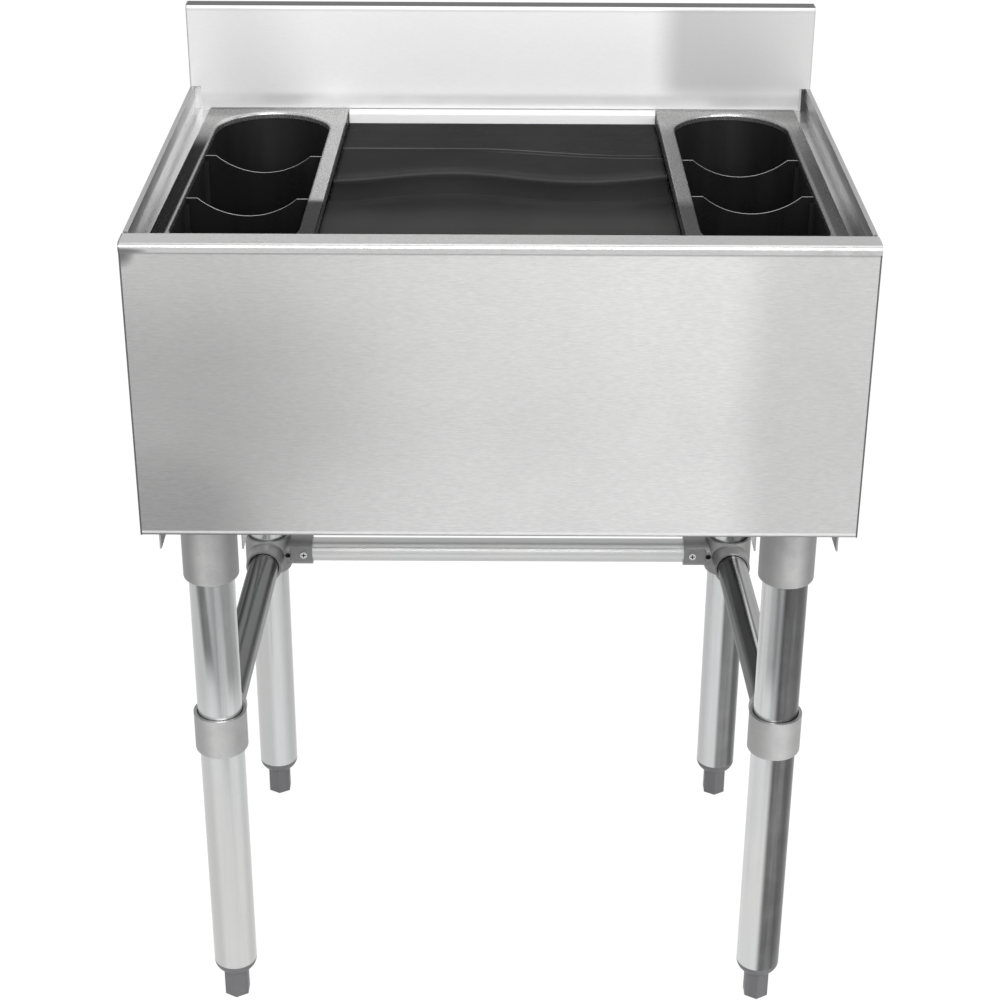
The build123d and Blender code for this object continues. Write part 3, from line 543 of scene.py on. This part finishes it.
def leg_streaks(leg):
    """The painted reflections of one leg, as streaks: masks and greys on its finish."""
    centre = middle(f"leg_pipe_{leg}")
    turn = TURN if leg.endswith("left") else -TURN

    def streaks(finish):
        aside = finish.along("X") - centre.x
        ahead = finish.along("Y") - centre.y
        up = finish.along("Z")
        off = (aside + turn * ahead) * (1 / PIPE_RADIUS)
        facing = (ahead - turn * aside).rise(*FRONT_HALF)
        painted = []
        for streak in STREAKS[leg]:
            moved = off + (up - SLANT_HEIGHT) * streak.slant
            band = stripe(moved, streak.place, streak.half, streak.soft)
            band = band * up.rise(streak.low, streak.low + FADE) * facing * streak.share
            painted.append((band, streak.paint))
        return painted

    return streaks


for leg in LEGS:
    dress(f"leg_pipe_{leg}", zinc(f"zinc_{leg}", "Z", light=0.74, streaks=leg_streaks(leg)))

# %% [markdown]
# A side rail runs from a front leg to a rear leg, a little inwards and a little upwards, so its
# streaks, which are painted reflections, follow a line that leans and climbs, on its upper half.
# The left rail has a dark painted reflection on its outer side, and the right one a pale one. The
# side rails are also a darker zinc than the legs, which is painted shade. The rear rail has its
# painted reflections and a painted highlight at fixed heights. Each place is counted in the rail's
# radii from its middle.

# %% Streaks of the rails
RAIL_RADIUS = 0.015875
CROSS_RADIUS = 0.0127
UPPER_HALF = (-0.004, 0.004)  # above the rail's middle


def side_rail_streaks(side):
    """The painted reflections of a side rail, as streaks: masks and greys on its finish."""
    front = middle(f"leg_pipe_front_{side}")
    rear = middle(f"leg_pipe_rear_{side}")
    lean = (rear.x - front.x) / (rear.y - front.y)
    low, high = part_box(f"side_rail_{side}")
    centre = (low + high) / 2
    climb = (high.z - low.z - 2 * RAIL_RADIUS) / (high.y - low.y)

    def streaks(finish):
        along = finish.along("Y")
        off = (finish.along("X") - ((along - front.y) * lean + front.x)) * (1 / RAIL_RADIUS)
        upper = (finish.along("Z") - centre.z - (along - centre.y) * climb).rise(*UPPER_HALF)
        if side == "left":
            bands = [
                (off.rise(-0.1, -0.4), 0.06), (stripe(off, -0.55, 0.02, 0.10) * 0.6, 0.22),
                (stripe(off, 0.78, 0.04, 0.10) * 0.7, 0.10), (off.rise(0.90, 0.97) * 0.8, 0.55),
            ]
        else:
            bands = [
                (stripe(off, -0.42, 0.20, 0.25) * 0.9, 0.05),
                (stripe(off, 0.00, 0.03, 0.10) * 0.9, 0.90),
                (off.rise(0.12, 0.30) * 0.9, 0.60), (off.rise(0.80, 0.92) * 0.6, 0.16),
            ]
        return [(band * upper, paint) for band, paint in bands]

    return streaks


# The rear rail's streaks are painted reflections, with a painted highlight.
def rear_rail_streaks(finish):
    up = (finish.along("Z") - middle("rear_rail").z) * (1 / CROSS_RADIUS)
    return [
        (up.rise(0.79, 0.84) * 0.5, 0.42), (stripe(up, 0.70, 0.04, 0.06) * 0.9, 1.0),
        (stripe(up, 0.48, 0.06, 0.08) * 0.6, 0.25), (up.rise(-0.15, -0.50) * 0.35, 0.35),
    ]


# The side rails are a darker zinc than the legs: painted shade.
for side in ("left", "right"):
    coat = zinc(f"zinc_side_{side}", "Y", light=0.26, grazing=0.5, streaks=side_rail_streaks(side))
    dress(f"side_rail_{side}", coat)
coat = zinc("rear_rail_zinc", "X", light=0.75, rough=0.34, metal=0.7, streaks=rear_rail_streaks)
dress("rear_rail", coat)
channel_zinc = zinc("channel_zinc", "Y", light=0.55, rough=0.3)
dress("leg_channel_left", channel_zinc)
dress("leg_channel_right", channel_zinc)

# %% [markdown]
# The sockets are turned steel with a satin zinc coat, and the brace fittings are die castings with
# a fine sandy skin. A rough metal with a small even bump tells them from the pipes. Seen from the
# front they are palest along the middle, so the rest is given a painted shade by the share edge,
# and the rear braces are darker copies of the front ones, with more of that painted shade.

# %% Cast and coated fittings
SOCKET_RADIUS = 0.025
EDGE_SHADE_GREY = 0.12


def casting(name, light, rough, metallic=0.85, round_at=None, edge=0.62):
    """A matte cast metal with a sandy skin; round_at is the X at which a round piece is palest,
    with painted shade on either side.
    """
    finish = Finish(name, Metallic=metallic)
    sand = finish.grain(cube(900.0), detail=3.0, rough=0.7)
    cloud = finish.grain(cube(38.0), detail=4.0, rough=0.6)
    tone = sand.swing(0.5) + cloud.swing(0.6) + 0.5
    dark, pale = grey(0.72 * light), grey(1.22 * light, (1.0, 1.0, 0.99))
    colour = finish.mix(tone.rise(0.0, 1.0), dark, pale)
    if round_at is not None:
        # Painted shade on the sides of a round piece.
        ridge = stripe((finish.along("X") - round_at) * (1 / SOCKET_RADIUS), 0.05, 0.10, 0.65)
        colour = finish.mix(ridge, finish.mix(edge, colour, grey(EDGE_SHADE_GREY)), colour)
    finish.feed(Base_Color=colour)
    finish.feed(Roughness=cloud.swing(0.12) + rough)
    finish.feed(Normal=finish.bump(sand + 0.6 * cloud, 0.00015, 0.5))
    return finish


for leg in LEGS:
    leg_x = middle(f"leg_pipe_{leg}").x
    dress(f"leg_socket_{leg}", casting(f"socket_coat_{leg}", 0.56, 0.42, round_at=leg_x))
    # The rear braces are darker, with more painted shade.
    light, edge = (0.58, 0.40) if leg.startswith("front") else (0.50, 0.62)
    brace = casting(f"brace_casting_{leg}", light, 0.46, metallic=0.75, round_at=leg_x, edge=edge)
    dress(f"brace_fitting_{leg}", brace)
screw_zinc = casting("screw_zinc", 0.62, 0.25, metallic=1.0)
for node in (
    "socket_set_screws", "collar_set_screws", "side_rail_set_screws", "well_nuts_left",
    "well_nuts_right",
):
    dress(node, screw_zinc)


def crossed_screws(reach, bar):
    """The two rear screws, each with a dark cross, the painted shade of its recess; reach and bar
    are its half length and width.
    """
    finish = casting("crossed_screws", 0.75, 0.25)
    low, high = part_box("rear_rail_screws")
    mid = middle("rear_rail_screws")
    head = high.z - low.z
    off_x = finish.along("X").distance(mid.x).distance((high.x - low.x - head) / 2)
    off_z = finish.along("Z").distance(mid.z)
    upright = off_x.rise(bar, 0.6 * bar) * off_z.rise(reach, 0.9 * reach)
    level = off_z.rise(bar, 0.6 * bar) * off_x.rise(reach, 0.9 * reach)
    # The cross is painted shade.
    cross = (upright + level).rise(0.0, 1.0)
    finish.feed(Base_Color=finish.mix(cross, grey(0.72), grey(0.08)))
    return finish


dress("rear_rail_screws", crossed_screws(reach=0.0026, bar=0.0008))

# %% [markdown]
# The wells and their dividers are black moulded plastic, with a faint pull in the draw direction of
# the mould, and a divider has a painted highlight where its edge faces up. The feet are a dark grey
# plastic with a dull skin.

# %% Plastics
PULL_SCALE = (60.0, 60.0, 6.0)
FACES_UP = (0.4, 0.75)


def plastic(name, tone, rough, skin=420.0, depth=0.00008, top_highlight=None):
    """Moulded plastic with a leathery skin, faint pulls and, if given, a grey painted highlight on
    faces that point up.
    """
    finish = Finish(name)
    pores = finish.grain(cube(skin), detail=3.0)
    pulls = finish.grain(PULL_SCALE, detail=3.0)
    share = (0.6 * pulls + 0.4 * pores).rise(0.2, 0.8)
    colour = finish.mix(share, grey(0.75, tone), grey(1.3, tone))
    if top_highlight:
        # A painted highlight on faces that point up.
        normal = finish.node("ShaderNodeNewGeometry", output=GEOMETRY_NORMAL)
        upward = finish.node("ShaderNodeSeparateXYZ", inputs={0: normal}, output="XYZ".index("Z"))
        colour = finish.mix(upward.rise(*FACES_UP), colour, grey(top_highlight))
    finish.feed(Base_Color=colour)
    finish.feed(Roughness=pulls.swing(0.16) + pores.swing(0.08) + rough)
    finish.feed(Normal=finish.bump(pores + pulls, depth, 0.4))
    return finish


well_plastic = plastic("well_plastic", (0.012, 0.012, 0.0125), 0.42)
divider_plastic = plastic("divider_plastic", (0.007, 0.007, 0.0075), 0.30, top_highlight=0.30)
foot_plastic = plastic("foot_plastic", (0.135, 0.135, 0.14), 0.48, skin=900.0)
for side in ("left", "right"):
    dress(f"bottle_well_{side}", well_plastic)
    dress(f"divider_{side}_1", divider_plastic)
    dress(f"divider_{side}_2", divider_plastic)
for leg in LEGS:
    dress(f"levelling_foot_{leg}", foot_plastic)
    dress(f"foot_insert_{leg}", foot_plastic)
dress("drain_body", plastic("drain_plastic", (0.16, 0.16, 0.165), 0.4))
dress("drain_locknut", foot_plastic)
dress("drain_gasket", plastic("gasket_rubber", (0.02, 0.02, 0.02), 0.7, skin=1200.0))
dress("insulation", plastic("foam", (0.75, 0.68, 0.45), 0.9, skin=300.0, depth=0.0004))

# %% [markdown]
# A thin plastic lid never lies quite flat. The sheet has a fine crease towards the back and
# low waves across its middle, which bend the reflection of the splash into slow curves. The solid
# model has a flat plate, so the lid is made again here: a grid of faces is given the waves, then
# a thickness, and its rim is rounded. The waves fade out at the ends that lie on the rests.
# Heights of the second wave and of the crease are shares of the first wave's.

# %% Lid
LID_CELL = 0.004
LID_CORNER = 0.004
LID_CUT = 0.3 * LID_CORNER
LID_ROUND = 0.0008
WAVE_HEIGHT = 0.0012
CREST_Y = 0.0285
CREST_SWING = 0.012
CREST_TURN = 26.7
CREST_START = 1.15
CREST_WIDTH = 0.016
SECOND_HEIGHT = 0.35
SECOND_BACK = 0.062
SECOND_WIDTH = 0.022
CREASE_HEIGHT = 0.16
CREASE_Y = 0.1175
CREASE_FALL = 0.020
CREASE_BEND = (-0.03, 0.12)
CREASE_WIDTH = 0.0016
FLAT_END = 0.014
FLAT_FADE = 0.03

lid_low, lid_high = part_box("lid")
lid_size = lid_high - lid_low
lid_points = [nodes["lid"].matrix_world @ vert.co for vert in nodes["lid"].data.vertices]


def lid_side(sign, y):
    """X of the solid lid's left or right edge, which follows the holder beside it."""
    front_end, rear_end = [
        sign * max(sign * point.x for point in lid_points if abs(point.y - end) < 2 * LID_CORNER)
        for end in (lid_low.y, lid_high.y)
    ]
    return front_end + (rear_end - front_end) * (y - lid_low.y) / lid_size.y


def clamped(value):
    return min(1.0, max(0.0, value))


def ridge(off, width):
    """The section of a ridge that is 1 high: half as high at its width from the middle."""
    return 1 / (1 + (off / width) ** 2)


def lid_wave(x, y):
    """How far the sheet stands above its flat place."""
    crest = CREST_Y + CREST_SWING * cos(CREST_TURN * x + CREST_START)
    bend_start, bend_end = CREASE_BEND
    turned = clamped((x - bend_start) / (bend_end - bend_start))
    crease_line = CREASE_Y - CREASE_FALL * turned * turned * (3 - 2 * turned)
    first = ridge(y - crest, CREST_WIDTH)
    second = SECOND_HEIGHT * ridge(y - crest + SECOND_BACK, SECOND_WIDTH)
    crease = CREASE_HEIGHT * ridge(y - crease_line, CREASE_WIDTH)
    fade = clamped((lid_high.y - FLAT_END - y) / FLAT_FADE)
    fade = fade * clamped((y - lid_low.y - FLAT_END) / FLAT_FADE)
    return WAVE_HEIGHT * fade * (first + second + crease)


def make_lid():
    """The warped sheet, with its top face on the solid's top."""
    form = bmesh.new()
    columns = round(lid_size.x / LID_CELL)
    rows = round(lid_size.y / LID_CELL)
    bmesh.ops.create_grid(form, x_segments=columns, y_segments=rows, size=0.5)
    edges = [(lid_side(-1, end), lid_side(1, end)) for end in (lid_low.y, lid_high.y)]
    for vert in form.verts:
        across, ahead = vert.co.x + 0.5, vert.co.y + 0.5
        left, right = [near + (far - near) * ahead for near, far in zip(*edges)]
        cut = LID_CUT if across in (0.0, 1.0) and ahead in (0.0, 1.0) else 0.0
        x = left + (right - left) * across + cut * (1 - 2 * across)
        y = lid_low.y + lid_size.y * ahead + cut * (1 - 2 * ahead)
        vert.co = (x, y, lid_high.z + lid_wave(x, y))
    mesh = bpy.data.meshes.new("lid_sheet")
    form.to_mesh(mesh)
    form.free()
    mesh.shade_smooth()
    piece = bpy.data.objects.new("lid_sheet", mesh)
    bpy.context.scene.collection.objects.link(piece)
    thick = piece.modifiers.new("thickness", "SOLIDIFY")
    thick.thickness = lid_size.z
    thick.offset = -1.0
    rim = piece.modifiers.new("rim", "BEVEL")
    rim.width = LID_ROUND
    rim.segments = 3
    rim.limit_method = "ANGLE"
    rim.angle_limit = radians(50)
    return piece


# %% [markdown]
# The lid's colour follows the same lines as its shape: its reflections are painted along the crest,
# the second wave and the crease, paler at the front and behind the crease and darker in front of
# the crest and beside the holders. A tone from 0 to about 0.1 is added up from its rubs, its clouds
# and the painted lines, and then stands for a grey of that lightness.

# %% Lid finish
LID_TONE = 0.1
SECOND_LINE_BACK = 0.064
TROUGH_BACK = 0.030
FRONT_LINE_BACK = 0.008


def lid_finish():
    """Black sheet with a dull sheen, paler where hands have rubbed it, with painted reflections
    along its waves and a painted highlight along its crease.
    """
    finish = Finish("lid_plastic", IOR=1.05)
    across = finish.along("X")
    ahead = finish.along("Y")
    pores = finish.grain(cube(1500.0), detail=3.0)
    rubs = finish.grain((3.0, 70.0, 70.0), detail=3.0)
    clouds = finish.grain((11.0, 7.0, 1.0), detail=2.0, offset=(2.0, 4.0, 0.0))
    from_crest = ahead - (across * CREST_TURN + CREST_START).cosine() * CREST_SWING
    from_crease = ahead + across.rise(*CREASE_BEND) * CREASE_FALL
    # Painted highlights on the crest, the second wave and the crease, and a painted dark band in
    # front of the crest.
    crest_highlight = stripe(from_crest, CREST_Y, 0.0004, 0.0055) * 0.7
    crest = crest_highlight + stripe(from_crest, CREST_Y + 0.006, 0.002, 0.022) * 0.25
    trough_shade = stripe(from_crest, CREST_Y - TROUGH_BACK, 0.016, 0.014)
    second = stripe(from_crest, CREST_Y - SECOND_LINE_BACK, 0.001, 0.014)
    crease = stripe(from_crease, CREASE_Y, 0.0003, 0.0022)
    crease = crease * rubs.rise(0.2, 0.6) * across.rise(0.149, 0.138)
    # A paler line just in front of the crease, on the right.
    front_crease_line = stripe(from_crease, CREASE_Y - FRONT_LINE_BACK, 0.0003, 0.0022)
    front_crease_line = front_crease_line * across.rise(-0.03, 0.03) * 0.6
    # Painted shade beside the holders.
    beside = across.distance(0.0).rise(0.10, 0.16)
    tone = rubs.swing(0.008) + clouds.swing(0.020) + pores.swing(0.004) + 0.007
    # Painted reflections: paler at the front and behind the crease.
    tone = tone + ahead.rise(-0.03, -0.10) * 0.029 + ahead.rise(0.09, 0.15) * 0.006
    tone = tone + crest * 0.036 + second * 0.005 + crease * 0.085 + front_crease_line * 0.06
    tone = tone - trough_shade * 0.004 - beside * 0.003
    palest = grey(LID_TONE, (1.0, 1.0, 0.98))
    finish.feed(Base_Color=finish.mix(tone * (1 / LID_TONE), grey(0.0), palest))
    finish.feed(Roughness=rubs.swing(0.10) + pores.swing(0.06) + 0.24)
    finish.feed(Normal=finish.bump(pores, 0.00002, 0.4))
    return finish


lid_sheet = make_lid()
lid_sheet.data.materials.append(lid_finish().material)
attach(lid_sheet, "lid")
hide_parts("lid")
print("lid faces:", len(lid_sheet.data.polygons))

# %% [markdown]
# The floor and the background are plain white. The floor's colour comes partly from emission, so
# that it stays white far from the lamps, and partly from light, so that it keeps the bin's soft
# shadow. Metal shows what stands round it, and in a photographer's room the floor just in front
# of the object is in the shade of the camera and the stand, so a mirror-like surface is given
# a greyer floor there.

# %% Floor
FLOOR_SIZE = 30.0
FLOOR_GLOW = 1.18
GLOW_SHARE = 0.72


def make_floor():
    form = bmesh.new()
    bmesh.ops.create_grid(form, x_segments=1, y_segments=1, size=FLOOR_SIZE / 2)
    mesh = bpy.data.meshes.new("floor")
    form.to_mesh(mesh)
    form.free()
    floor = bpy.data.objects.new("floor", mesh)
    bpy.context.scene.collection.objects.link(floor)
    return floor


def floor_finish():
    """White to the camera and lit by the lamps, and shaded where metal mirrors it in front."""
    finish = Finish("floor_white", Roughness=0.9, Specular_IOR_Level=0.0)
    ahead = finish.along("Y") * -1.0
    aside = finish.along("X").distance(0.0)
    shade = (ahead - 0.75 * aside).rise(0.42, 0.75) * (ahead - 0.2 * aside).rise(1.35, 1.0)
    seen_ray = finish.node("ShaderNodeLightPath", output=CAMERA_RAY)
    mirror_ray = finish.node("ShaderNodeLightPath", output=GLOSSY_RAY)
    white = {"Color": grey(1.0), "Strength": FLOOR_GLOW}
    shown = finish.node("ShaderNodeEmission", inputs=white)
    seen = finish.mix(shade, grey(0.95), (0.30, 0.30, 0.31, 1.0))
    mirrored = finish.node("ShaderNodeEmission", inputs={"Color": seen, "Strength": 1.0})
    finish.feed(Base_Color=grey(0.85))
    lit = Field(finish, finish.shader.outputs[0])
    inputs = {0: GLOW_SHARE * seen_ray, 1: lit, 2: shown}
    soft = finish.node("ShaderNodeMixShader", inputs=inputs)
    whole = finish.node("ShaderNodeMixShader", inputs={0: mirror_ray, 1: soft, 2: mirrored})
    surface = finish.tree.nodes["Material Output"].inputs["Surface"]
    finish.tree.links.new(whole.socket, surface)
    return finish


floor = make_floor()
floor.data.materials.append(floor_finish().material)

# %% [markdown]
# The light is a white room, a large lamp in front above the camera, and two weak ones from the
# top and from the right. Lamps are given by place, aim, size in metres and power in watts.

# %% World and lamps
ROOM_LIGHT = 0.80
SIDE_LOSS = 0.35
LAMPS = {
    "front_light": ((0.3, -2.9, 2.2), (0.0, 0.0, 0.75), (2.4, 1.4), 62.0),
    "top_light": ((0.2, -0.3, 2.8), (0.0, 0.0, 0.7), (1.6, 1.2), 6.0),
    "right_light": ((2.4, -1.2, 1.5), (0.0, 0.0, 0.6), (1.2, 1.6), 9.0),
}


def make_world(level, side_loss):
    """A white room for the camera; for light, a soft one that is darker to the left and right."""
    world = bpy.data.worlds.new("studio")
    world.use_nodes = True
    tree = world.node_tree

    def add(kind, operation, *values):
        made = tree.nodes.new(kind)
        if operation:
            made.operation = operation
        for slot, value in enumerate(values):
            if isinstance(value, bpy.types.NodeSocket):
                tree.links.new(value, made.inputs[slot])
            else:
                made.inputs[slot].default_value = value
        return made.outputs

    rays = add("ShaderNodeLightPath", None)
    seen_rays = (rays["Is Camera Ray"], rays["Is Transmission Ray"])
    seen = add("ShaderNodeMath", "MAXIMUM", *seen_rays)[0]
    direction = add("ShaderNodeTexCoord", None)["Generated"]
    sideways = add("ShaderNodeSeparateXYZ", None, direction)[0]
    square = add("ShaderNodeMath", "MULTIPLY", sideways, sideways)[0]
    strength = add("ShaderNodeMath", "MULTIPLY_ADD", square, -side_loss, level)[0]
    lit = add("ShaderNodeBackground", None, grey(1.0), strength)[0]
    plain = add("ShaderNodeBackground", None, grey(1.0), 1.0)[0]
    choice = add("ShaderNodeMixShader", None, seen, lit, plain)[0]
    tree.links.new(choice, tree.nodes["World Output"].inputs["Surface"])
    bpy.context.scene.world = world


def make_lamp(name, place, aim, size, power):
    data = bpy.data.lights.new(name, "AREA")
    data.shape = "RECTANGLE"
    data.size, data.size_y = size
    data.energy = power
    lamp = bpy.data.objects.new(name, data)
    lamp.location = place
    lamp.rotation_mode = "QUATERNION"
    lamp.rotation_quaternion = (Vector(place) - Vector(aim)).to_track_quat("Z", "Y")
    bpy.context.scene.collection.objects.link(lamp)


make_world(ROOM_LIGHT, SIDE_LOSS)
for name, lamp in LAMPS.items():
    make_lamp(name, *lamp)
bpy.context.scene.view_settings.view_transform = "Standard"
